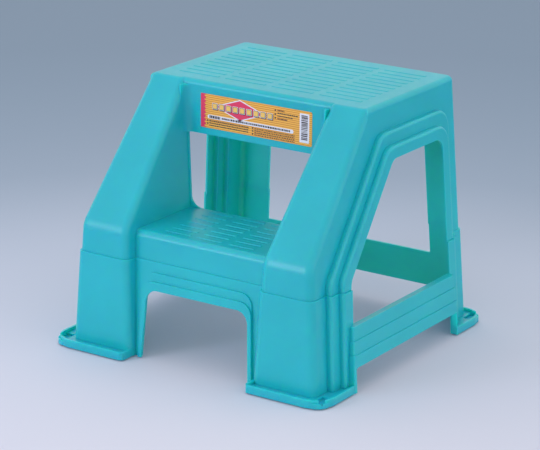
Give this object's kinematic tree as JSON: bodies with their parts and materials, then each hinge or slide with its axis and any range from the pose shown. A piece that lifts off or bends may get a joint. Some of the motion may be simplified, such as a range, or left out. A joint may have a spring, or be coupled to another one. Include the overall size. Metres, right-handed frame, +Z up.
{
  "type": "two-step mounting block",
  "caption": "One-piece moulded plastic step block with a high tread, a lower front tread between two columns, open sides and rubber foot pads.",
  "frame": {"origin": "on the floor, at the middle of the four feet's overall rectangle", "axes": "+X to the right along the treads, +Y back from the lower tread to the upper tread, +Z up"},
  "size_m": [0.3726, 0.361, 0.3006],
  "materials": {
    "polypropylene": "satin moulded turquoise polypropylene",
    "label_film": "printed film, orange with a red end, no text",
    "pad_rubber": "matt black rubber"
  },
  "bodies": {
    "root": {"moulded_body": "polypropylene", "fascia_label": "label_film", "front_left_rubber_pad": "pad_rubber", "front_right_rubber_pad": "pad_rubber", "rear_left_rubber_pad": "pad_rubber", "rear_right_rubber_pad": "pad_rubber"}
  },
  "joints": []
}
